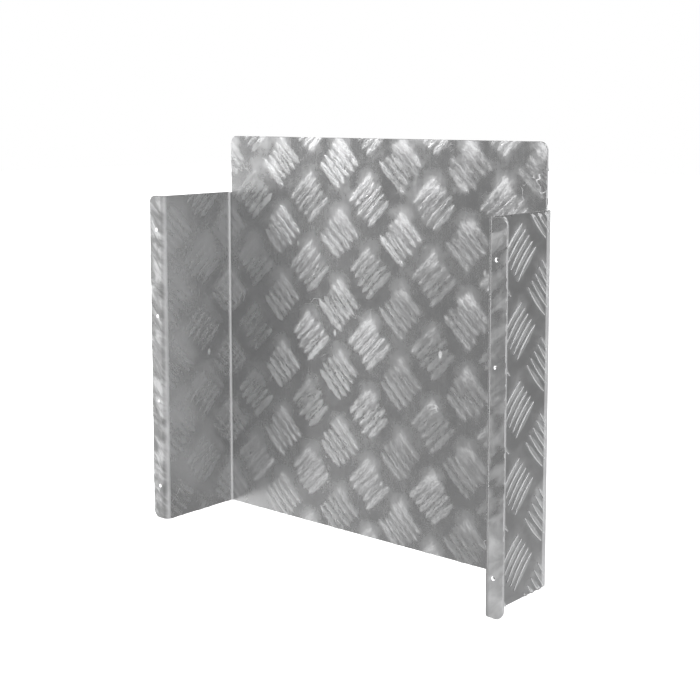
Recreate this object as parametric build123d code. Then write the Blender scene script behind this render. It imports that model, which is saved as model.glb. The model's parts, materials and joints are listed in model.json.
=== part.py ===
from build123d import *
import math
import os

# Kick plate: one aluminium tread-plate sheet, folded to a hat section.
# +Z is up, X runs across the width, and the fixing faces of the flanges look along -Y.
# The origin is the middle of the bottom of the bounding box. All sizes are in mm.

# Sheet: a smooth base with raised bars on its tread side only
base_thickness = 2.5
bar_height = 1.5

# Folded body, measured on the smooth side
plate_height = 400.0
inside_width = 402.0
depth = 95.0             # from the fixing faces to the face of the plate
return_height = 340.0    # both side returns and their flanges stop short of the top
flange_width = 20.0      # from the face of the return to the free edge
bend_radius = 3.0        # inside radius of all four folds
corner_radius = 8.0      # the plate's top corners and the flanges' free corners

# Fixing holes, one row in each flange
hole_diameter = 3.2
holes_per_flange = 4
hole_pitch = 90.0
hole_edge_distance = 10.0

# Five-bar tread pattern, laid out on the flat blank before it is folded.
# Rising and falling groups alternate like the squares of a draughtboard.
group_pitch_across = 75.0    # between groups of one hand, along the blank
group_pitch_up = 68.0        # between groups of one hand, up the blank
falling_group_across = 26.2  # centre of one falling group, from the middle of the blank
falling_group_up = 35.0      # and its height above the bottom edge
bars_per_group = 5
bar_pitch = 7.7
bar_length = 40.0
bar_width = 4.6
crown_length = 32.0          # a bar leans in on all sides up to its crown
crown_width = 2.2
bar_slope = 45.0             # degrees from level
bar_root = 0.3               # how deep a bar is rooted in the base
fold_margin = 4.0            # strip beside a fold where the press tool has flattened the bars

outer_bend_radius = bend_radius + base_thickness
half_width = inside_width / 2
free_edge_x = half_width + flange_width
plate_edge_x = half_width - bend_radius
overall_depth = depth + base_thickness + bar_height
fixing_face_y = -overall_depth / 2
plate_face_y = fixing_face_y + depth
tread_face_x = half_width + base_thickness
tread_face_y = plate_face_y + base_thickness

# Lengths along the blank: neutral line at 0.44 of the thickness in each 90 degree fold
fold_length = math.pi / 2 * (bend_radius + 0.44 * base_thickness)
return_flat = depth - bend_radius - outer_bend_radius
flange_flat = flange_width - outer_bend_radius
return_start = plate_edge_x + fold_length
flange_start = return_start + return_flat + fold_length


def folded_section():
    """The sheet's section seen from above: smooth side, one cut edge, tread side, the other."""
    flange_back_y = fixing_face_y + base_thickness
    smooth_side = [
        (-free_edge_x, fixing_face_y),
        (-half_width, fixing_face_y),
        (-half_width, plate_face_y),
        (half_width, plate_face_y),
        (half_width, fixing_face_y),
        (free_edge_x, fixing_face_y),
    ]
    tread_side = [
        (-free_edge_x, flange_back_y),
        (-tread_face_x, flange_back_y),
        (-tread_face_x, tread_face_y),
        (tread_face_x, tread_face_y),
        (tread_face_x, flange_back_y),
        (free_edge_x, flange_back_y),
    ]
    smooth_radii = [outer_bend_radius, bend_radius, bend_radius, outer_bend_radius]
    tread_radii = [bend_radius, outer_bend_radius, outer_bend_radius, bend_radius]
    return make_face(
        [
            FilletPolyline(*smooth_side, radius=smooth_radii),
            Line(smooth_side[-1], tread_side[-1]),
            FilletPolyline(*tread_side, radius=tread_radii),
            Line(tread_side[0], smooth_side[0]),
        ]
    )


def is_rounded_corner(point):
    at_plate_top = abs(point.Z - plate_height) < 0.01
    at_flange_end = min(abs(point.Z), abs(point.Z - return_height)) < 0.01
    at_free_edge = abs(abs(point.X) - free_edge_x) < 0.01
    return at_plate_top or (at_flange_end and at_free_edge)


def folded_sheet():
    """The bare sheet, with both returns cut down and the free corners rounded."""
    sheet = extrude(folded_section(), plate_height)
    waste = Pos(plate_edge_x, 0, return_height) * Box(
        free_edge_x, 2 * overall_depth, plate_height, align=(Align.MIN, Align.CENTER, Align.MIN)
    )
    sheet = sheet - waste - mirror(waste, Plane.YZ)
    corners = [edge for edge in sheet.edges().filter_by(Axis.Y) if is_rounded_corner(edge.center())]
    return fillet(corners, corner_radius)


def lens(length, width):
    """A pointed oval: two equal arcs that meet at the tips."""
    tips = (-length / 2, 0), (length / 2, 0)
    upper = ThreePointArc(tips[0], (0, width / 2), tips[1])
    lower = ThreePointArc(tips[1], (0, -width / 2), tips[0])
    return make_face([upper, lower])


def tread_bar():
    """One raised bar lying along X. The sheet's surface is z = 0 and the tread side is -Z."""
    foot = Pos(0, 0, bar_root) * lens(bar_length, bar_width)
    crown = Pos(0, 0, -bar_height) * lens(crown_length, crown_width)
    return loft([foot, crown], ruled=True)


def group_centres(low, high, height):
    """Centre and slope of every group that reaches the blank between low and high."""
    centres = []
    for hand, shift in ((-1, 0.0), (1, 0.5)):
        start_x = falling_group_across + shift * group_pitch_across
        start_z = falling_group_up + shift * group_pitch_up
        first_column = math.floor((low - bar_length - start_x) / group_pitch_across)
        last_column = math.ceil((high + bar_length - start_x) / group_pitch_across)
        first_row = math.floor((-bar_length - start_z) / group_pitch_up)
        last_row = math.ceil((height + bar_length - start_z) / group_pitch_up)
        for column in range(first_column, last_column + 1):
            for row in range(first_row, last_row + 1):
                x = start_x + column * group_pitch_across
                z = start_z + row * group_pitch_up
                centres.append((x, z, hand * bar_slope))
    return centres


def bars_on_flat(corner, along, blank_low, outline):
    """The bars on one flat of the folded sheet, trimmed to the outline that may carry them.

    corner is the flat's bottom corner on the tread side, along its direction on the blank,
    blank_low that corner's place on the blank. The outline is drawn in the flat's own plane.
    """
    flat_plane = Plane(origin=corner, x_dir=along, z_dir=Vector(*along).cross(Vector(0, 0, 1)))
    room = outline.bounding_box()
    skin = extrude(Pos(0, 0, -bar_height) * outline, bar_height + bar_root, dir=(0, 0, 1))
    bar = tread_bar()
    bars = []
    for group_x, group_z, slope in group_centres(blank_low + room.min.X, blank_low + room.max.X, room.max.Y):
        group_place = Pos(group_x - blank_low, group_z, 0) * Rot(0, 0, slope)
        for number in range(bars_per_group):
            step = (number - (bars_per_group - 1) / 2) * bar_pitch
            placed = group_place * Pos(0, step, 0) * bar
            bars += trimmed(placed, skin)
    return [flat_plane.from_local_coords(solid) for solid in bars]


def trimmed(bar, skin):
    """What lies of a bar within the skin: all of it, a part or nothing."""
    common = bar & skin
    return common.solids() if common else []


def rounded(outline, points):
    """Round the outline's corners at these points as the sheet's own are."""
    corners = [
        vertex
        for vertex in outline.vertices()
        if any((Vector(vertex) - Vector(*point)).length < 0.01 for point in points)
    ]
    return fillet(corners, corner_radius)


def block(low_x, high_x, low_z, high_z):
    return Pos(low_x, low_z) * Rectangle(high_x - low_x, high_z - low_z, align=(Align.MIN, Align.MIN))


def plate_outline():
    """The plate carries bars between its folds, and right to its edges above the returns."""
    width = 2 * plate_edge_x
    outline = block(fold_margin, width - fold_margin, 0, plate_height)
    outline += block(0, width, return_height, plate_height)
    return rounded(outline, [(0, plate_height), (width, plate_height)])


def flange_outline(side):
    """A flange carries bars from beside its fold to its free edge."""
    if side < 0:
        outline = block(0, flange_flat - fold_margin, 0, return_height)
        return rounded(outline, [(0, 0), (0, return_height)])
    outline = block(fold_margin, flange_flat, 0, return_height)
    return rounded(outline, [(flange_flat, 0), (flange_flat, return_height)])


def tread_bars():
    """All bars of the tread side, flat by flat, from the left flange round to the right one."""
    plate_low = (-plate_edge_x, tread_face_y, 0)
    flange_y = fixing_face_y + base_thickness
    return_outline = block(fold_margin, return_flat - fold_margin, 0, return_height)
    return_near_y = fixing_face_y + outer_bend_radius
    return_far_y = plate_face_y - bend_radius
    flange_inner_x = half_width + outer_bend_radius
    bars = bars_on_flat((-free_edge_x, flange_y, 0), (1, 0, 0), -flange_start - flange_flat, flange_outline(-1))
    bars += bars_on_flat((-tread_face_x, return_near_y, 0), (0, 1, 0), -return_start - return_flat, return_outline)
    bars += bars_on_flat(plate_low, (1, 0, 0), -plate_edge_x, plate_outline())
    bars += bars_on_flat((tread_face_x, return_far_y, 0), (0, -1, 0), return_start, return_outline)
    bars += bars_on_flat((flange_inner_x, flange_y, 0), (1, 0, 0), flange_start, flange_outline(1))
    return bars


def fixing_holes():
    """One drill for each fixing hole, along Y and through the bars on the flange's back."""
    hole_x = free_edge_x - hole_edge_distance
    first_z = return_height / 2 - hole_pitch * (holes_per_flange - 1) / 2
    drill = Rot(90, 0, 0) * Cylinder(hole_diameter / 2, 4 * (base_thickness + bar_height))
    return [
        Pos(side * hole_x, fixing_face_y, first_z + number * hole_pitch) * drill
        for side in (-1, 1)
        for number in range(holes_per_flange)
    ]


os.makedirs("parts", exist_ok=True)
tread_plate = folded_sheet() + tread_bars() - fixing_holes()
tread_plate.label = "tread_plate"
export_step(tread_plate, "parts/tread_plate.step")
print("volume", round(tread_plate.volume), "mm3 in", len(tread_plate.solids()), "solid")
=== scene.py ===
import bpy
import bmesh
import json
import math
import random
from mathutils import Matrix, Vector, noise


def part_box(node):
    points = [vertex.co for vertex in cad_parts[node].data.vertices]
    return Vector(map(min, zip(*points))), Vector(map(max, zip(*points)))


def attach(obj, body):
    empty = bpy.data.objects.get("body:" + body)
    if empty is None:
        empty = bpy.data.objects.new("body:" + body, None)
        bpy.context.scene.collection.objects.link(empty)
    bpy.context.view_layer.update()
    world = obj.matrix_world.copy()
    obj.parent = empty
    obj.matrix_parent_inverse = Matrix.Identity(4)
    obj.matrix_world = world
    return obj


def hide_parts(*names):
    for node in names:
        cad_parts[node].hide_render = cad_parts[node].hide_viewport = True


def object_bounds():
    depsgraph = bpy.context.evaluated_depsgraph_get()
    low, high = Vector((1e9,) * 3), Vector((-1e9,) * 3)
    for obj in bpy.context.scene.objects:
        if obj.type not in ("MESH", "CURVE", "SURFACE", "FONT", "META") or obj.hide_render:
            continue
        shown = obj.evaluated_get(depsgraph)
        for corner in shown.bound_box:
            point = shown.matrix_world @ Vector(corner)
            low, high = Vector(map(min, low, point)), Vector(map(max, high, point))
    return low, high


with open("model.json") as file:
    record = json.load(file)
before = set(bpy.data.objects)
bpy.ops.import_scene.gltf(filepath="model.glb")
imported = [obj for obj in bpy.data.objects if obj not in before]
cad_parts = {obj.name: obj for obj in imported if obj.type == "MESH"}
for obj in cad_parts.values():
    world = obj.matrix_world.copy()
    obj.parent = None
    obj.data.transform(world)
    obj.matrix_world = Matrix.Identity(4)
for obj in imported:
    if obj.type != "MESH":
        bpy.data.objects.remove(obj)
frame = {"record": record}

cadLow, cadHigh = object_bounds()
plateLow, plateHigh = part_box("tread_plate")
record = frame["record"]

# The sheet is made as it is in the shop: a flat blank is cut and drilled, the bars stand on it,
# and then all of it is folded. On the blank, x runs along the sheet from its middle, z is up,
# and y is the height above the tread face, so the smooth face is at y = -baseThickness.
sheet = {
    "baseThickness": 0.0025,
    "barHeight": 0.0015,
    "bendRadius": 0.003,
    "neutralLine": 0.44,       # share of the thickness that a fold neither stretches nor squeezes
    "flangeWidth": 0.020,      # from the face of the return
    "returnHeight": 0.340,
    "cornerRadius": 0.008,
    "cornerSteps": 10,
    "foldSteps": 10,           # strips across a fold
    "cell": 0.012,             # largest cell of the flats
    "edgeBreak": 0.0004,       # the sheared edges are broken by this much
    "holeSteps": 28,
    "holeRoom": 0.0042,        # half the cell that holds a hole
    "holeBreak": 0.00025,      # the holes are broken by this much
    "shearWidth": 0.003,       # the shear squashes the bars this far from a cut
    "wave": 0.00016,           # how far the rolled sheet is from dead flat
    "waveLength": 0.11,
}

baseThickness = sheet["baseThickness"]
bendRadius = sheet["bendRadius"]
outerRadius = bendRadius + baseThickness
returnHeight = sheet["returnHeight"]
plateHeight = plateHigh.z
fixingFaceY = plateLow.y
plateFaceY = plateHigh.y - sheet["barHeight"] - baseThickness
freeEdgeX = plateHigh.x
halfWidth = freeEdgeX - sheet["flangeWidth"]

# where the flats begin and end along the blank, from its middle outwards
foldLength = math.pi / 2 * (bendRadius + sheet["neutralLine"] * baseThickness)
plateEnd = halfWidth - bendRadius
returnStart = plateEnd + foldLength
returnEnd = returnStart + plateFaceY - fixingFaceY - bendRadius - outerRadius
flangeStart = returnEnd + foldLength
blankEnd = flangeStart + sheet["flangeWidth"] - outerRadius


def folded(x, y, z):
    # where a point of the blank lies once the sheet is folded
    side = -1 if x < 0 else 1
    s = abs(x)
    if s <= plateEnd:
        px, py = s, plateFaceY + baseThickness + y
    elif s <= returnStart:
        turn = (s - plateEnd) / foldLength * math.pi / 2
        px = plateEnd + (outerRadius + y) * math.sin(turn)
        py = plateFaceY - bendRadius + (outerRadius + y) * math.cos(turn)
    elif s <= returnEnd:
        px, py = halfWidth + baseThickness + y, plateFaceY - bendRadius - (s - returnStart)
    elif s <= flangeStart:
        turn = (s - returnEnd) / foldLength * math.pi / 2
        px = halfWidth + outerRadius - (bendRadius - y) * math.cos(turn)
        py = fixingFaceY + outerRadius - (bendRadius - y) * math.sin(turn)
    else:
        px, py = halfWidth + outerRadius + (s - flangeStart), fixingFaceY + baseThickness + y
    return Vector((side * px, py, z))


def waveAt(x, z):
    # a rolled sheet is never dead flat; the fixing flanges are pressed flat against the wall
    share = 1 if abs(x) < returnStart else max(0.0, 1 - (abs(x) - returnStart) / 0.06)
    return share * sheet["wave"] * noise.noise(Vector((x, 0.37, z)) / sheet["waveLength"])


def arc(centreX, centreZ, radius, start, steps):
    turns = [math.radians(start + 90 * k / steps) for k in range(steps + 1)]
    return [(centreX + radius * math.cos(t), centreZ + radius * math.sin(t)) for t in turns]


def mirrored(points):
    return [(-x, z) for x, z in reversed(points)]


def sideOutline():
    # what a return and its flange add beyond the plate, on the right, anticlockwise
    r, steps = sheet["cornerRadius"], sheet["cornerSteps"]
    return arc(blankEnd - r, r, r, -90, steps) + arc(blankEnd - r, returnHeight - r, r, 0, steps)


def plateCorner():
    r = sheet["cornerRadius"]
    return arc(plateEnd - r, plateHeight - r, r, 0, sheet["cornerSteps"])


def blankOutline():
    right = sideOutline() + [(plateEnd, returnHeight)] + plateCorner()
    return right + mirrored(right)


boltPatterns = [mount for mount in record["mounts"] if mount["kind"] == "bolt_pattern"]


def fixingHoles():
    # the record's bolt patterns, taken back to the blank: (x, z) of each hole
    places = []
    for mount in boltPatterns:
        across = mount["dims"]["spacing_x_mm"] / 2000
        up = mount["dims"]["spacing_y_mm"] / 2000
        blankX = blankEnd - (freeEdgeX - across)
        for side in (-1, 1):
            places += [(side * blankX, mount["pos_m"][2] + level * up) for level in (-1, 1)]
    return places


holes = fixingHoles()
holeRadius = boltPatterns[0]["dims"]["hole_r_mm"] / 1000


def evenly(low, high, largest):
    count = max(1, math.ceil((high - low) / largest - 1e-6))
    return [low + (high - low) * k / count for k in range(1, count + 1)]


def cutLines():
    # lines that divide the blank into cells: along it, then up it
    room = sheet["holeRoom"]
    holeX, holeLevels = abs(holes[0][0]), sorted({z for x, z in holes})
    along = evenly(0, plateEnd, sheet["cell"])
    along += evenly(plateEnd, returnStart, foldLength / sheet["foldSteps"])
    along += evenly(returnStart, returnEnd, sheet["cell"])
    along += evenly(returnEnd, flangeStart, foldLength / sheet["foldSteps"])
    along += [holeX - room, holeX + room]
    stops = [0] + [z + d for z in holeLevels for d in (-room, room)] + [returnHeight, plateHeight]
    up = []
    for low, high in zip(stops, stops[1:]):
        up += evenly(low, high, sheet["cell"])
    return [0] + along + [-x for x in along], up[:-1]


def cutThrough(bm, point, normal, keepInside=False):
    return bmesh.ops.bisect_plane(
        bm, geom=bm.verts[:] + bm.edges[:] + bm.faces[:], dist=1e-7,
        plane_co=point, plane_no=normal, clear_outer=keepInside,
    )


def drillBlank(bm):
    for x, z in holes:
        centre = Vector((x, -baseThickness, z))
        cell = min(bm.faces, key=lambda face: (face.calc_center_median() - centre).length)
        rim = list(cell.edges)
        bmesh.ops.delete(bm, geom=[cell], context="FACES_ONLY")
        turns = [2 * math.pi * k / sheet["holeSteps"] for k in range(sheet["holeSteps"])]
        ring = [
            bm.verts.new(centre + holeRadius * Vector((math.cos(t), 0, math.sin(t)))) for t in turns
        ]
        rim += [bm.edges.new((a, b)) for a, b in zip(ring, ring[1:] + ring[:1])]
        bmesh.ops.triangle_fill(bm, use_beauty=True, use_dissolve=False, edges=rim)


def breakEdges(bm):
    # a small chamfer along every sheared edge, and a wider one round every hole
    depth = sheet["edgeBreak"]
    cutThrough(bm, (0, -depth, 0), (0, 1, 0))
    cutThrough(bm, (0, depth - baseThickness, 0), (0, 1, 0))
    bm.normal_update()
    moves = []
    for vert in bm.verts:
        walls = [face.normal for face in vert.link_faces if abs(face.normal.y) < 0.5]
        if walls and min(abs(vert.co.y), abs(vert.co.y + baseThickness)) < 1e-6:
            toHole = min(math.hypot(vert.co.x - x, vert.co.z - z) for x, z in holes)
            width = sheet["holeBreak"] if toHole < holeRadius * 1.1 else depth
            moves.append((vert, sum(walls, Vector()).normalized() * width))
    for vert, move in moves:
        vert.co -= move


def flatBlank():
    bm = bmesh.new()
    bm.faces.new([bm.verts.new((x, -baseThickness, z)) for x, z in blankOutline()])
    along, up = cutLines()
    for x in along:
        cutThrough(bm, (x, 0, 0), (1, 0, 0))
    for z in up:
        cutThrough(bm, (0, 0, z), (0, 0, 1))
    drillBlank(bm)
    raised = bmesh.ops.extrude_face_region(bm, geom=bm.faces[:])["geom"]
    top = [item for item in raised if isinstance(item, bmesh.types.BMVert)]
    bmesh.ops.translate(bm, verts=top, vec=(0, baseThickness, 0))
    bmesh.ops.recalc_face_normals(bm, faces=bm.faces[:])
    breakEdges(bm)
    return bm


# Five-bar pattern on the blank: groups of falling and rising bars alternate, as on a draughtboard.
# The tread side carries the bars. The smooth side shows soft rubbed marks in the same pattern,
# from the bars of the sheets that it was stacked on, so they needn't lie behind its own bars.
bars = {
    "groupPitchAcross": 0.075,
    "groupPitchUp": 0.068,
    "fallingAcross": 0.0262,   # one falling group's centre
    "fallingUp": 0.035,
    "barsPerGroup": 5,
    "barPitch": 0.0077,
    "length": 0.0412,
    "width": 0.0047,
    "height": 0.0012,
    "flank": 0.34,             # share of the half width taken by the sloping flank
    "profile": 0.5,            # below 1 rounds the shoulder and steepens the foot
    "dome": 0.20,              # how much lower the shoulder is than the crown
    "slope": 45,
    "alongSteps": 16,
    "acrossSteps": (
        -1, -0.94, -0.88, -0.82, -0.76, -0.7, -0.62, -0.4, 0,
        0.4, 0.62, 0.7, 0.76, 0.82, 0.88, 0.94, 1,
    ),
    "root": 0.0004,            # how deep a bar is rooted in the base
    "pressWidth": 0.005,       # bars are pressed flat this far from a fold
    "tip": 0.13,
    "uneven": 0.01,
    "seed": 11,
}
marks = {
    "groupPitchAcross": 0.0793,
    "groupPitchUp": 0.0711,
    "fallingAcross": -0.1235,
    "fallingUp": 0.0190,
    "barsPerGroup": 5,
    "barPitch": 0.0082,
    "length": 0.039,
    "width": 0.0072,
    "height": 0.00005,
    "flank": 1.0,
    "profile": 1.0,
    "dome": 0.0,
    "slope": 44,
    "alongSteps": 12,
    "acrossSteps": (-1, -0.75, -0.5, -0.25, 0, 0.25, 0.5, 0.75, 1),
    "root": 0.0003,
    "pressWidth": 0.006,
    "tip": 0.30,
    "uneven": 0.5,
    "seed": 23,
}


def groupPlaces(pattern):
    # (x, z, slope) of every group that reaches the blank
    reach = pattern["length"]
    places = []
    for hand, shift in ((-1, 0.0), (1, 0.5)):
        startX = pattern["fallingAcross"] + shift * pattern["groupPitchAcross"]
        startZ = pattern["fallingUp"] + shift * pattern["groupPitchUp"]
        columns = math.ceil((blankEnd + reach) / pattern["groupPitchAcross"]) + 2
        rows = math.ceil((plateHeight + reach) / pattern["groupPitchUp"]) + 1
        for column in range(-columns, columns + 1):
            for row in range(-2, rows + 1):
                x = startX + column * pattern["groupPitchAcross"]
                z = startZ + row * pattern["groupPitchUp"]
                if abs(x) < blankEnd + reach and -reach < z < plateHeight + reach:
                    places.append((x, z, hand * math.radians(pattern["slope"])))
    return places


def smoothStep(value):
    value = min(max(value, 0.0), 1.0)
    return value * value * (3 - 2 * value)


def pressedShare(x, z, pattern):
    # 1 on the open sheet, down to 0 beside and across a fold
    s = abs(x)
    share = smoothStep(max(returnEnd - s, s - flangeStart) / pattern["pressWidth"])
    if z < returnHeight:
        share = min(share, smoothStep(max(plateEnd - s, s - returnStart) / pattern["pressWidth"]))
    # the shear squashes the bars beside a cut
    toCut = min(z, plateHeight - z, blankEnd - s)
    if s > returnStart:
        toCut = min(toCut, returnHeight - z)
    elif z > returnHeight:
        toCut = min(toCut, plateEnd - s)
    return share * (0.25 + 0.75 * smoothStep(toCut / sheet["shearWidth"]))


def regions():
    # the flats of the blank, each a convex outline run anticlockwise, that bars are trimmed to
    plate = [(-plateEnd, 0), (plateEnd, 0)] + plateCorner()
    plate += mirrored(plateCorner())
    strip = [(returnStart, 0), (returnEnd, 0)]
    strip += [(x, returnHeight) for x in (returnEnd, returnStart)]
    flange = [(flangeStart, 0)] + sideOutline() + [(flangeStart, returnHeight)]
    return [plate, strip, mirrored(strip), flange, mirrored(flange)]


def trimBar(bm, region):
    # cut away what lies outside the region, and close the cuts
    for (x1, z1), (x2, z2) in zip(region, region[1:] + region[:1]):
        length = math.hypot(x2 - x1, z2 - z1)
        if length < 1e-7 or not bm.verts:
            continue
        outX, outZ = (z2 - z1) / length, (x1 - x2) / length
        if max((v.co.x - x1) * outX + (v.co.z - z1) * outZ for v in bm.verts) < 1e-6:
            continue
        made = cutThrough(bm, (x1, 0, z1), (outX, 0, outZ), keepInside=True)
        rim = [item for item in made["geom_cut"] if isinstance(item, bmesh.types.BMEdge)]
        if rim:
            bmesh.ops.holes_fill(bm, edges=rim, sides=0)


def crossSection(v, pattern):
    share = smoothStep((1 - abs(v)) / pattern["flank"]) ** pattern["profile"]
    return share * (1 - pattern["dome"] * v * v)


def barShell(pattern):
    # one bar as a closed shell: x from -1 to 1 along it, z from -1 to 1 across, y its height share
    steps, across = pattern["alongSteps"], pattern["acrossSteps"]
    bm = bmesh.new()
    rows = []
    for i in range(1, steps):
        u = -math.cos(math.pi * i / steps)
        rows.append([bm.verts.new((u, crossSection(v, pattern), v)) for v in across])
    tips = [bm.verts.new((u, 0, 0)) for u in (-1, 1)]
    for lower, upper in zip(rows, rows[1:]):
        for k in range(len(across) - 1):
            bm.faces.new((lower[k], lower[k + 1], upper[k + 1], upper[k]))
    for k in range(len(across) - 1):
        bm.faces.new((tips[0], rows[0][k + 1], rows[0][k]))
        bm.faces.new((tips[1], rows[-1][k], rows[-1][k + 1]))
    foot = [tips[0]] + [row[0] for row in rows] + [tips[1]] + [row[-1] for row in reversed(rows)]
    deep = [bm.verts.new((v.co.x, -1, v.co.z)) for v in foot]
    for k in range(len(foot)):
        after = (k + 1) % len(foot)
        bm.faces.new((foot[k], foot[after], deep[after], deep[k]))
    bm.faces.new(deep)
    bmesh.ops.recalc_face_normals(bm, faces=bm.faces[:])
    shell = bpy.data.meshes.new("barShell")
    bm.to_mesh(shell)
    bm.free()
    return shell


def placeBar(shell, pattern, centre, slope, size, outward):
    # the shell at its place on the blank, outward +1 on the tread face or -1 on the smooth face
    bm = bmesh.new()
    bm.from_mesh(shell)
    cosine, sine = math.cos(slope), math.sin(slope)
    faceY = 0 if outward > 0 else -baseThickness
    for vert in bm.verts:
        u, share, v = vert.co
        along = u * pattern["length"] / 2 * (1 + (size - 1) * 0.3)
        over = v * pattern["width"] / 2 * (1 - u * u)
        x = centre[0] + along * cosine - over * sine
        z = centre[1] + along * sine + over * cosine
        if share < 0:
            height = -pattern["root"]
        else:
            tipFade = smoothStep((1 - abs(u)) / pattern["tip"])
            height = share * tipFade * pattern["height"] * size
            sunk = pattern["height"] * 0.06
            height = (height + sunk) * pressedShare(x, z, pattern) - sunk
        vert.co = (x, faceY + outward * height, z)
    if outward < 0:
        bmesh.ops.reverse_faces(bm, faces=bm.faces[:])
    return bm


def standBars(pattern, outward, add):
    # every bar of the pattern, trimmed to the blank, is handed to add
    chance = random.Random(pattern["seed"])
    shell = barShell(pattern)
    parts = regions()
    reach = pattern["length"] / 2
    for groupX, groupZ, slope in groupPlaces(pattern):
        for number in range(pattern["barsPerGroup"]):
            step = (number - (pattern["barsPerGroup"] - 1) / 2) * pattern["barPitch"]
            x, z = groupX - step * math.sin(slope), groupZ + step * math.cos(slope)
            size = 1 + pattern["uneven"] * chance.uniform(-1, 1)
            if abs(x) > blankEnd + reach or not -reach < z < plateHeight + reach:
                continue
            onePart = abs(x) < plateEnd - reach and reach < z < plateHeight - reach
            near = [part for part in parts if min(p[0] for p in part) < x + reach]
            near = [part for part in near if max(p[0] for p in part) > x - reach]
            for part in near:
                bm = placeBar(shell, pattern, (x, z), slope, size, outward)
                if not onePart:
                    trimBar(bm, part)
                add(bm)
    bpy.data.meshes.remove(shell)


class SheetMesh:
    # gathers the blank and its bars, then folds them into one mesh
    def __init__(self):
        self.places, self.faces, self.finishes = [], [], []

    def add(self, bm, finishOf):
        bm.verts.index_update()
        first = len(self.places)
        self.places += [vert.co.copy() for vert in bm.verts]
        for face in bm.faces:
            self.faces.append([first + vert.index for vert in face.verts])
            self.finishes.append(finishOf(face))
        bm.free()

    def fold(self, name, materials):
        mesh = bpy.data.meshes.new(name)
        points = [folded(p.x, p.y + waveAt(p.x, p.z), p.z) for p in self.places]
        mesh.from_pydata(points, [], self.faces)
        flat = mesh.attributes.new("blankPlace", "FLOAT_VECTOR", "POINT")
        flat.data.foreach_set("vector", [value for p in self.places for value in p])
        for material in materials:
            mesh.materials.append(material)
        mesh.polygons.foreach_set("material_index", self.finishes)
        mesh.polygons.foreach_set("use_smooth", [True] * len(mesh.polygons))
        mesh.set_sharp_from_angle(angle=math.radians(38))
        mesh.update()
        return mesh


# Shader maths is written as sums on channels: each one wraps a socket of a material's node tree.
class Channel:
    def __init__(self, tree, socket=None):
        self.tree = tree
        self.socket = socket

    def node(self, kind, settings, sockets, output=0):
        # a node of this type: its settings first, then the value or link of each socket
        made = self.tree.nodes.new(kind)
        for name, value in settings.items():
            setattr(made, name, value)
        for name, value in sockets.items():
            if isinstance(value, Channel):
                self.tree.links.new(value.socket, made.inputs[name])
            else:
                made.inputs[name].default_value = value
        return Channel(self.tree, made.outputs[output])

    def math(self, operation, *values):
        return self.node("ShaderNodeMath", {"operation": operation}, dict(enumerate(values)))

    def vector(self, x, y, z):
        return self.node("ShaderNodeCombineXYZ", {}, {0: x, 1: y, 2: z})

    def part(self, index):
        # one number of a vector
        return self.node("ShaderNodeSeparateXYZ", {}, {0: self}, index)

    def __add__(self, other):
        return self.math("ADD", self, other)

    def __radd__(self, other):
        return self.math("ADD", other, self)

    def __sub__(self, other):
        return self.math("SUBTRACT", self, other)

    def __rsub__(self, other):
        return self.math("SUBTRACT", other, self)

    def __mul__(self, other):
        return self.math("MULTIPLY", self, other)

    def __rmul__(self, other):
        return self.math("MULTIPLY", other, self)

    def __truediv__(self, other):
        return self.math("DIVIDE", self, other)

    def __rtruediv__(self, other):
        return self.math("DIVIDE", other, self)

    def __abs__(self):
        return self.math("ABSOLUTE", self)

    def round(self):
        return self.math("ROUND", self)

    def least(self, other):
        return self.math("MINIMUM", self, other)

    def most(self, other):
        return self.math("MAXIMUM", self, other)

    def step(self, low, high, toLow=0.0, toHigh=1.0):
        # a soft step from toLow to toHigh as the channel goes from low to high
        return self.node(
            "ShaderNodeMapRange", {"interpolation_type": "SMOOTHSTEP"},
            {0: self, 1: low, 2: high, 3: toLow, 4: toHigh},
        )

    def mix(self, low, high):
        # from the low colour to the high one as the channel goes from 0 to 1
        return self.node("ShaderNodeMix", {"data_type": "RGBA"}, {0: self, 6: low, 7: high}, 2)


def grey(level):
    return (level, level * 1.003, level * 1.008, 1)


class Metal:
    # a metal material: its tree, the blank's coordinates and the finished surface
    def __init__(self, name, constants):
        self.material = bpy.data.materials.new(name)
        self.material.use_nodes = True
        self.shader = self.material.node_tree.nodes["Principled BSDF"]
        for socket, value in constants.items():
            self.shader.inputs[socket].default_value = value
        self.pen = Channel(self.material.node_tree)
        place = self.pen.node("ShaderNodeAttribute", {"attribute_name": "blankPlace"}, {}, 1)
        self.x, self.y, self.z = (place.part(k) for k in range(3))

    def point(self, scaleX, scaleY, scaleZ, shift=0.0):
        return self.pen.vector(self.x * scaleX + shift, self.y * scaleY, self.z * scaleZ)

    def noise(self, point, detail=3.0, roughness=0.5, distortion=0.0):
        sockets = {"Vector": point, "Scale": 1.0, "Detail": detail}
        sockets.update({"Roughness": roughness, "Distortion": distortion})
        return self.pen.node("ShaderNodeTexNoise", {}, sockets)

    def bump(self, height, depth, under=None):
        sockets = {"Height": height, "Distance": depth, "Strength": 1.0}
        if under:
            sockets["Normal"] = under
        return self.pen.node("ShaderNodeBump", {}, sockets)

    def finish(self, colour, roughness, normal):
        varied = {"Base Color": colour, "Roughness": roughness, "Normal": normal}
        for socket, channel in varied.items():
            self.pen.tree.links.new(channel.socket, self.shader.inputs[socket])
        return self.material


# how a rubbed pattern looks close up: lengths in metres, scales per metre along and across a bar
rub = {
    "wobble": (85, 85),
    "streak": (48, 430),
    "shreds": (210, 620),
    "weakest": 0.45,           # the faintest group's share of the strongest
    "shortest": 0.82,
    "longest": 1.10,
    "softEdge": (-0.0016, 0.0015),
    "burstRise": 0.0225,       # a soft burst stands over the top corner of each group
    "burstWidth": 0.0105,
    "burstHeight": 0.0085,
    "burstWander": 0.010,
    "blurReach": 0.022,        # the bars blur into it from this far
    "blur": 0.45,
}


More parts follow.
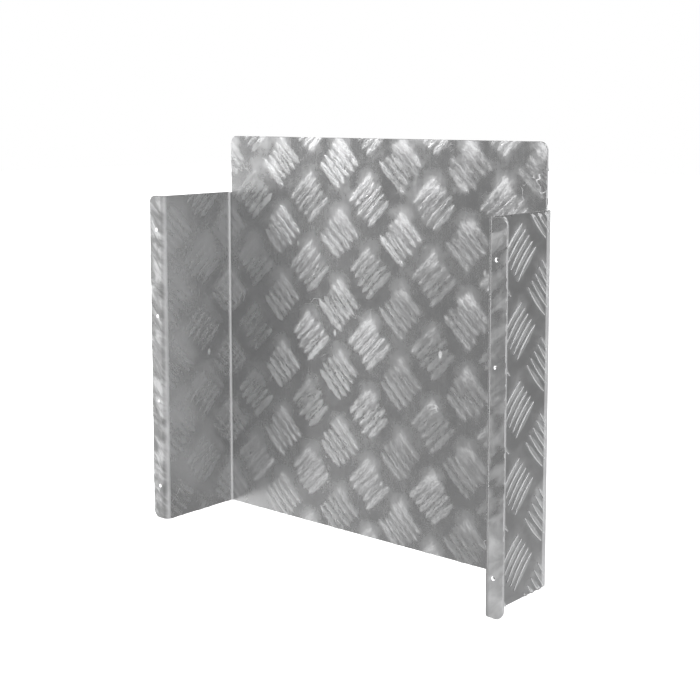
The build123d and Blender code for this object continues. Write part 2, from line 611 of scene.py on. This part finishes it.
class Marks:
    # the rubbed pattern as masks: each hand of groups adds its share, the stronger one shows
    def __init__(self, metal, pattern, finish):
        self.metal = metal
        self.pattern = pattern
        self.finish = finish
        self.streaks = None
        self.patch = None
        for hand, shift in ((-1, 0.0), (1, 0.5)):
            self.addHand(hand, shift)

    def random(self, first, second, third):
        # one value from 0 to 1 for each set of whole numbers
        pen = self.metal.pen
        point = {"Vector": pen.vector(first, second, third)}
        return pen.node("ShaderNodeTexWhiteNoise", {"noise_dimensions": "3D"}, point)

    def grain(self, along, across, scales, seed, detail=3.0):
        # noise drawn out along the bars
        point = self.metal.pen.vector(along * scales[0], across * scales[1], seed)
        return self.metal.noise(point, detail=detail, roughness=0.6)

    def addHand(self, hand, shift):
        metal, pattern, finish = self.metal, self.pattern, self.finish
        cosine = math.cos(math.radians(pattern["slope"]))
        sine = hand * math.sin(math.radians(pattern["slope"]))
        pitchAcross, pitchUp = pattern["groupPitchAcross"], pattern["groupPitchUp"]
        barPitch = pattern["barPitch"]
        # which group a point is in, and where it is in that group
        column = (metal.x - (pattern["fallingAcross"] + shift * pitchAcross)) / pitchAcross
        row = (metal.z - (pattern["fallingUp"] + shift * pitchUp)) / pitchUp
        columnIndex, rowIndex = column.round(), row.round()
        dx = (column - columnIndex) * pitchAcross
        dz = (row - rowIndex) * pitchUp
        seed = self.random(columnIndex, rowIndex, hand + 5) * 40
        strength = self.random(columnIndex, rowIndex, hand + 9) * (1 - rub["weakest"]) + rub["weakest"]
        along = dx * cosine + dz * sine
        across = dz * cosine - dx * sine
        wobble = self.grain(along, across, rub["wobble"], seed, detail=4.0) - 0.5
        across = across + wobble * finish["wobble"]
        # which bar of the group, and how far inside its ragged outline
        half = (pattern["barsPerGroup"] - 1) / 2
        number = (across / barPitch).round().least(half).most(-half)
        off = abs(across - number * barPitch)
        ragged = self.random(number, seed, hand + 2)
        reach = ragged * (rub["longest"] - rub["shortest"]) + rub["shortest"]
        u = along / reach / (pattern["length"] / 2)
        room = (1 - u * u * u * u) * (finish["barWidth"] / 2) - off
        bar = room.step(*rub["softEdge"])
        # the bars at both sides of a group are clear, those between them are rubbed to streaks
        outer = abs(number).step(half - 0.6, half - 0.1)
        streak = self.grain(along, across, rub["streak"], seed).step(0.42, 0.60)
        shreds = self.grain(along, across, rub["shreds"], seed + 3).step(0.40, 0.64)
        body = (streak * 0.62 + shreds * 0.44).most(outer * (shreds * 0.62 + 0.30))
        ends = abs(u).step(0.55, 0.92) * self.random(number, seed, 1) * 0.55
        streaks = bar * (body + ends) * strength
        inGroup = abs(u).most(abs(across) / ((half + 0.55) * barPitch))
        patch = inGroup.step(1.12, 0.86) * (shreds * 0.5 + 0.5) * strength
        burstX = (dx + wobble * rub["burstWander"]) / rub["burstWidth"]
        burstZ = (dz - rub["burstRise"]) / rub["burstHeight"]
        burst = (burstX * burstX + burstZ * burstZ).step(3.2, -1.2) * strength
        blurred = dz.step(0.0, rub["blurReach"])
        streaks = streaks * (1 - blurred * rub["blur"])
        patch = patch * (blurred * 0.65 + 0.55) + burst * (shreds * 0.5 + 0.8) * 1.15
        self.streaks = self.streaks.most(streaks) if self.streaks else streaks
        self.patch = self.patch.most(patch) if self.patch else patch


smoothFinish = {
    "base": 0.72,
    "mark": 0.97,
    # grey of the smudges, and of the painted shade along the right flange's fold
    "smudgeAndFoldShade": 0.40,
    "baseRoughness": 0.24,
    "markRoughness": 0.56,
    "brushing": 0.000010,      # depth of the rolling lines
    "waviness": 0.00010,       # depth of the waves of the flanges
    "markDepth": 0.00020,
    "wobble": 0.0052,          # how far the marks stray from straight bars
    "barWidth": 0.0064,
    "besideFold": 0.45,        # share of the marks at the left end of the plate
    "onReturns": 0.70,         # share of the marks on the returns
    "paintedFadeAtRight": 0.42,           # share of the streaks at the right end: painted shade that fades them there
}


def nicks(metal, scale, share, size, seed):
    # small bright nicks: a few cells of a grid have one
    sockets = {"Vector": metal.point(scale, 0, scale * 0.55, shift=seed), "Scale": 1.0}
    cell, picked = (
        metal.pen.node("ShaderNodeTexVoronoi", {"feature": "F1"}, sockets, k) for k in range(2)
    )
    lottery = metal.pen.node("ShaderNodeSeparateColor", {}, {0: picked})
    return cell.step(size, size * 0.4) * lottery.step(1 - share, 1 - share + 0.001)


def scratches(metal, scale, seed):
    # thin wandering scratches: level lines of a noise, kept in a few places only
    field = metal.noise(metal.point(scale, 0, scale, shift=seed), detail=2.0, distortion=0.6)
    line = abs(field - 0.5).step(0.006, 0.001)
    place = metal.noise(metal.point(scale * 0.7, 0, scale * 0.7, shift=seed + 4), detail=1.0)
    return line * place.step(0.64, 0.72)


def alongFold(metal, start, end, outside, inside):
    # a strip along the middle of a fold
    return abs(abs(metal.x) - (start + end) / 2).step(outside, inside)


def belowTop(metal):
    # the height over which the plate is folded
    return metal.z.step(returnHeight + 0.002, returnHeight)


def smoothSideMetal():
    spec = smoothFinish
    metal = Metal("smoothSideMetal", {"Metallic": 1.0})
    rubbed = Marks(metal, marks, spec)
    side = abs(metal.x)
    onFlange = side.step(returnEnd, flangeStart)
    onReturn = side.step(plateEnd, returnStart) * (1 - onFlange)
    onLeft = metal.x.step(-returnEnd + 0.01, -returnEnd)
    # painted light: the plate above the returns is painted lighter
    paintedTopLight = metal.z.step(returnHeight - 0.004, returnHeight + 0.01)
    lowEnd = metal.z.step(0.095, 0.075)
    # the marks are fainter at the left end of the plate, beside the left return
    nearFold = metal.x.step(0.045 - plateEnd, 0.062 - plateEnd, spec["besideFold"], 1.0)
    share = nearFold * (1 - onReturn * (1 - spec["onReturns"])) * (1 - onFlange)
    # painted shade: the streaks fade towards the right end of the plate
    streaks = rubbed.streaks * share * metal.x.step(-0.08, 0.12, 1.0, spec["paintedFadeAtRight"])
    # the mill's rolling lines, and the clouds and mottle of storage
    brushing = metal.noise(metal.point(1500, 0, 9), detail=3.0, roughness=0.6)
    broad = metal.noise(metal.point(420, 0, 3, shift=1.7), detail=2.0)
    patch = metal.noise(metal.point(9, 0, 9, shift=3.1), detail=3.0).step(0.3, 0.7)
    cloud = metal.noise(metal.point(26, 0, 26, shift=1.3), detail=5.0, roughness=0.62)
    mottle = metal.noise(metal.point(150, 0, 110, shift=5.5), detail=5.0, roughness=0.65)
    # slanted smears on the flanges
    slanted = metal.pen.vector(
        (side + metal.z) * 26, (side - metal.z) * 64, metal.x.step(-0.1, 0.1) * 9
    )
    smear = metal.noise(slanted, detail=5.0, roughness=0.6, distortion=0.5).step(0.36, 0.68)
    # painted highlight: each fold is painted lighter, standing in for the bright line of light that it
    # catches
    atFlange = alongFold(metal, returnEnd, flangeStart, 0.0036, 0.0024)
    paintedFoldHighlight = alongFold(metal, plateEnd, returnStart, 0.0020, 0.0009) * belowTop(metal)
    paintedFoldHighlight = paintedFoldHighlight.most(atFlange * onLeft * 0.75)
    bright = nicks(metal, 60, 0.035, 0.16, 2.0).most(scratches(metal, 34, 6.0))
    light = (
        streaks * 0.95 + rubbed.patch * share * (0.42 - onReturn * 0.22)
        + cloud.step(0.45, 0.72) * (paintedTopLight * 0.30 + 0.12) + paintedFoldHighlight * 0.95
        # painted light: the left flange's smears are painted lighter than the right flange's
        + onFlange * (smear * (onLeft * 0.34 + 0.50) + 0.06 + lowEnd * 0.34) + bright
    ).least(1.0)
    tone = (
        light + (broad - 0.5) * 0.24 + (brushing - 0.5) * 0.14 + (patch - 0.5) * 0.16
        + (mottle - 0.5) * (0.32 - onReturn * 0.20)
    )
    # dark smudges on the left flange, and painted shade along the right flange's fold that dims its
    # highlight
    smudgeAndFoldShade = ((1 - smear) * onFlange * onLeft).most(atFlange * (1 - onLeft) * 0.55)
    colour = smudgeAndFoldShade.mix(tone.mix(grey(spec["base"]), grey(spec["mark"])), grey(spec["smudgeAndFoldShade"]))
    roughness = (
        light * (spec["markRoughness"] - spec["baseRoughness"]) + spec["baseRoughness"]
        + (patch - 0.5) * 0.06 + (brushing - 0.5) * 0.08 + (mottle - 0.5) * 0.12
    )
    rolled = metal.bump(brushing, spec["brushing"])
    wavy = metal.bump(smear * onFlange, spec["waviness"], under=rolled)
    return metal.finish(colour, roughness, metal.bump(streaks, spec["markDepth"], under=wavy))


treadFinish = {
    "base": 0.74,
    "crown": 0.97,
    "foot": 0.30,              # painted shade at the foot of each bar, where it meets the sheet
    "fold": 0.99,              # a pale strip beside each fold: partly rubbed by the dies, partly a painted highlight of the bend
    "baseRoughness": 0.34,
    "crownRoughness": 0.46,
    "shoulderRoughness": 0.92,
    "foldRoughness": 0.68,
    "pebble": 0.00003,
    "brushing": 0.000008,
    "wobble": 0.003,
    "barWidth": 0.0064,
}


def treadSideMetal():
    spec = treadFinish
    metal = Metal("treadSideMetal", {"Metallic": 1.0})
    rubbed = Marks(metal, bars, spec)
    # a bar's foot, shoulder and crown by their height above the sheet
    height = bars["height"]
    crown = metal.y.step(0.0001, height * 0.9)
    # painted highlight: a bar's shoulder is painted lighter, standing in for the thin bright lines
    # along its edges
    shoulderHighlight = metal.y.step(height * 0.48, height * 0.62) * metal.y.step(height * 0.97, height * 0.92)
    foot = metal.y.step(0.00001, 0.00005) * metal.y.step(height * 0.55, height * 0.28)
    fold = alongFold(metal, plateEnd, returnStart, 0.0085, 0.0065) * belowTop(metal)
    pebble = metal.noise(metal.point(900, 0, 900), detail=3.0, roughness=0.6)
    patch = metal.noise(metal.point(14, 0, 14, shift=5.2), detail=4.0)
    smear = metal.noise(metal.point(60, 0, 90, shift=4.4), detail=4.0, distortion=0.8)
    brushing = metal.noise(metal.point(1900, 0, 20, shift=2.2), detail=2.0)
    tone = (
        crown * 0.45 + shoulderHighlight * 0.8 + rubbed.patch * 0.30
        + (patch - 0.5) * 0.7 + (smear - 0.5) * 0.8 + (brushing - 0.5) * 0.2
    )
    # painted shade: the foot of each bar is painted dark
    shadedAtFoot = foot.mix(tone.mix(grey(spec["base"]), grey(spec["crown"])), grey(spec["foot"]))
    # partly painted highlight: the strip beside each fold is painted pale
    colour = fold.mix(shadedAtFoot, grey(spec["fold"]))
    roughness = (
        crown * (spec["crownRoughness"] - spec["baseRoughness"]) + spec["baseRoughness"]
        + shoulderHighlight * (spec["shoulderRoughness"] - spec["crownRoughness"]) + rubbed.patch * 0.16
        + fold * (spec["foldRoughness"] - spec["baseRoughness"])
        + (patch - 0.5) * 0.16 + (pebble - 0.5) * 0.12 + (smear - 0.5) * 0.30
    )
    brushed = metal.bump(brushing, spec["brushing"])
    return metal.finish(colour, roughness, metal.bump(pebble, spec["pebble"], under=brushed))


edgeFinish = {
    "base": 0.94,
    "streak": 0.98,
    "darkTopEdges": 0.30,           # the top edges of the plate and the returns, where the sheet was cropped to length, are darker
    "roughness": 0.72,
    "shear": 0.00002,          # depth of the shear's fine lines
    # painted light: the emission strength that makes the holes' metal glow
    "paintedHoleLight": 0.55,
}


def cutEdgeMetal(name, constants):
    # sheared edges and drilled holes: fresh bright metal with fine tool marks; the holes' metal also
    # glows, a painted light that makes them read white
    spec = edgeFinish
    metal = Metal(name, {"Metallic": 1.0, **constants})
    shear = metal.noise(metal.point(1200, 300, 1200), detail=3.0)
    topOfPlate = metal.z.step(plateHeight - 0.003, plateHeight - 0.001)
    topOfReturn = metal.z.step(returnHeight - 0.003, returnHeight - 0.001)
    darkTopEdges = topOfPlate.most(abs(metal.x).step(plateEnd, returnStart) * topOfReturn)
    fresh = shear.mix(grey(spec["base"]), grey(spec["streak"]))
    colour = darkTopEdges.mix(fresh, grey(spec["darkTopEdges"]))
    roughness = (shear - 0.5) * 0.25 + spec["roughness"]
    return metal.finish(colour, roughness, metal.bump(shear, spec["shear"]))


def blankFinish(face):
    # 0 the smooth side, 1 the tread side, 2 the cut edges, 3 the holes
    centre, normal = face.calc_center_median(), face.normal
    if abs(normal.y) < 0.9:
        inHole = min(math.hypot(centre.x - x, centre.z - z) for x, z in holes) < 2 * holeRadius
        return 3 if inHole else 2
    return 0 if centre.y < -baseThickness / 2 else 1


def makeTreadPlate():
    gathered = SheetMesh()
    blank = flatBlank()
    blank.normal_update()
    gathered.add(blank, blankFinish)
    print("blank cut and drilled:", len(gathered.faces), "faces")
    standBars(bars, 1, lambda bm: gathered.add(bm, lambda face: 1))
    print("bars on the tread side:", len(gathered.faces), "faces")
    standBars(marks, -1, lambda bm: gathered.add(bm, lambda face: 0))
    print("marks on the smooth side:", len(gathered.faces), "faces")
    # painted light: the holes' metal glows by this emission, though it is no lamp
    paintedHoleLight = {"Emission Color": (1, 1, 1, 1), "Emission Strength": edgeFinish["paintedHoleLight"]}
    finishes = [smoothSideMetal(), treadSideMetal()]
    finishes += [cutEdgeMetal("cutEdgeMetal", {}), cutEdgeMetal("holeMetalPaintedGlow", paintedHoleLight)]
    mesh = gathered.fold("treadPlate", finishes)
    piece = bpy.data.objects.new("treadPlate", mesh)
    bpy.context.scene.collection.objects.link(piece)
    weighted = piece.modifiers.new("weightedNormals", "WEIGHTED_NORMAL")
    weighted.keep_sharp = True
    weighted.weight = 80
    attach(piece, "root")
    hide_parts("tread_plate")
    print("sheet folded:", len(mesh.vertices), "vertices")


# The room: a pale floor, a pale surround and soft lights.
studio = {
    "floorSize": 14.0,
    "floorColour": (0.93, 0.93, 0.925, 1),
    "floorGlow": 0.80,
    "seenSurround": 1.0,
    "level": 0.21,             # what the metal mirrors at eye level
    "aboveAndBelow": 1.00,     # and what it mirrors overhead and from the floor
    "lights": {
        # name: (place, target, width, height, radiance)
        "leftPanel": ((-1.47, -0.90, -0.20), (-0.2, -0.1, 0.0), 0.34, 1.1, 1.5),
        "backPanel": ((-0.35, 1.8, 0.1), (0.2, 0, 0.15), 1.4, 1.8, 1.2),
        "rightPanel": ((1.60, -0.85, 0.1), (0.2, 0, 0.15), 0.30, 1.2, 1.6),
        "keyLamp": ((-1.30, -1.05, 1.00), (0, 0, 0.2), 0.4, 0.4, 23),
        "overheadSoftbox": ((0.1, -0.5, 1.7), (0, 0, 0.2), 1.6, 1.2, 1.6),
    },
}


def addSoftbox(name, place, target, width, height, radiance):
    lamp = bpy.data.lights.new(name, "AREA")
    lamp.shape = "RECTANGLE"
    lamp.size, lamp.size_y = width, height
    lamp.energy = math.pi * width * height * radiance
    holder = bpy.data.objects.new(name, lamp)
    holder.location = place
    holder.rotation_euler = (Vector(target) - Vector(place)).to_track_quat("-Z", "Y").to_euler()
    bpy.context.scene.collection.objects.link(holder)
    holder.visible_camera = False


def makeFloor():
    mesh = bpy.data.meshes.new("floor")
    half = studio["floorSize"] / 2
    corners = [(-half, -half, 0), (half, -half, 0), (half, half, 0), (-half, half, 0)]
    mesh.from_pydata(corners, [], [(0, 1, 2, 3)])
    material = bpy.data.materials.new("paleFloor")
    material.use_nodes = True
    pen = Channel(material.node_tree)
    shader = material.node_tree.nodes["Principled BSDF"]
    shader.inputs["Roughness"].default_value = 0.9
    shader.inputs["Emission Strength"].default_value = studio["floorGlow"]
    cloud = pen.node("ShaderNodeTexNoise", {}, {"Scale": 3.0})
    colour = (cloud * 0.1).mix(studio["floorColour"], (0.9, 0.9, 0.9, 1))
    material.node_tree.links.new(colour.socket, shader.inputs["Base Color"])
    shader.inputs["Emission Color"].default_value = (1, 1, 1, 1)
    mesh.materials.append(material)
    floor = bpy.data.objects.new("floor", mesh)
    floor.location.z = cadLow.z - 0.0005
    bpy.context.scene.collection.objects.link(floor)
    floor.visible_glossy = False
    floor.visible_shadow = False


def makeSurround():
    # the camera sees a white surround; the metal mirrors a grey room, pale overhead and below
    world = bpy.data.worlds.new("surround")
    world.use_nodes = True
    bpy.context.scene.world = world
    tree = world.node_tree
    pen = Channel(tree)
    background = tree.nodes["Background"]
    seen = pen.node("ShaderNodeLightPath", {}, {}, 0)
    direction = pen.node("ShaderNodeTexCoord", {}, {}, 0)
    height = abs(direction.part(2))
    room = height.step(0.28, 0.75, studio["level"], studio["aboveAndBelow"])
    level = seen * (studio["seenSurround"] - room) + room
    tree.links.new(level.socket, background.inputs["Strength"])
    background.inputs["Color"].default_value = (1, 1, 1, 1)


# The camera stands in front and to the right, a little above the top edge.
cameraSpec = {
    "place": (0.8179, -0.9393, 0.4272),
    "turn": 40.72,
    "tilt": -5.86,
    "lens": 67.47,
    "shiftY": -0.15,
}


def makeCamera():
    camera = bpy.data.objects.new("camera", bpy.data.cameras.new("camera"))
    camera.location = cameraSpec["place"]
    tilt, turn = math.radians(90 + cameraSpec["tilt"]), math.radians(cameraSpec["turn"])
    camera.rotation_euler = (tilt, 0, turn)
    camera.data.lens = cameraSpec["lens"]
    camera.data.sensor_width = 36
    camera.data.shift_y = cameraSpec["shiftY"]
    camera.data.clip_start, camera.data.clip_end = 0.05, 50
    bpy.context.scene.collection.objects.link(camera)
    bpy.context.scene.camera = camera


makeCamera()
print("camera in place")
makeTreadPlate()
makeFloor()
makeSurround()
for softboxName, softbox in studio["lights"].items():
    addSoftbox(softboxName, *softbox)
bpy.context.scene.view_settings.view_transform = "Standard"
print("floor, surround and lights in place")
